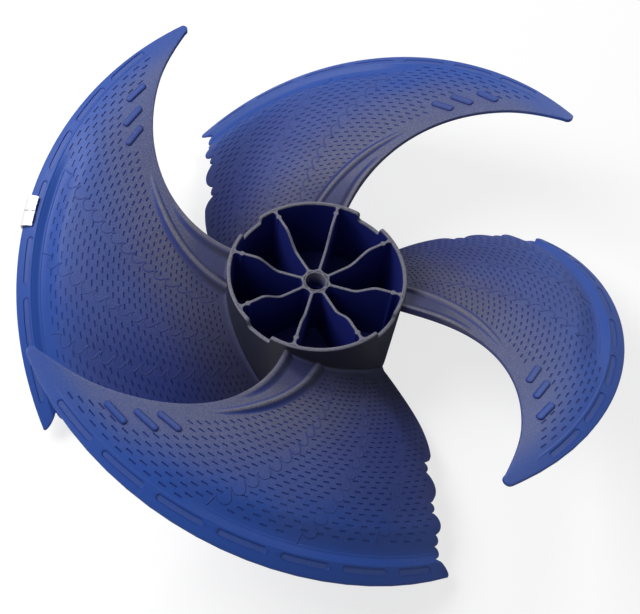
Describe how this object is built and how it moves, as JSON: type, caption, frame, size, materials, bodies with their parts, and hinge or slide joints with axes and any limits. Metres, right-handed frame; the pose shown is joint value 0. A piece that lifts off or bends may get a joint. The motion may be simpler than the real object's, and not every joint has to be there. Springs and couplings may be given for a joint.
{
  "type": "axial fan impeller",
  "caption": "Moulded plastic axial fan impeller with a ribbed cup hub and wide forward-swept blades with toothed trailing edges.",
  "frame": {"origin": "on the bore axis at the end face of the hub's boss, where the shaft's shoulder seats", "axes": "+Z along the bore axis towards the hub's open, ribbed mouth; the balance clips are on the blade at the -X side"},
  "size_m": [0.5498, 0.5498, 0.1871],
  "materials": {
    "blue_plastic": "satin moulded plastic, dark blue",
    "clip": "bright plated spring steel"
  },
  "bodies": {
    "root": {"impeller": "blue_plastic", "balance_clip_1": "clip", "balance_clip_2": "clip"}
  },
  "joints": []
}
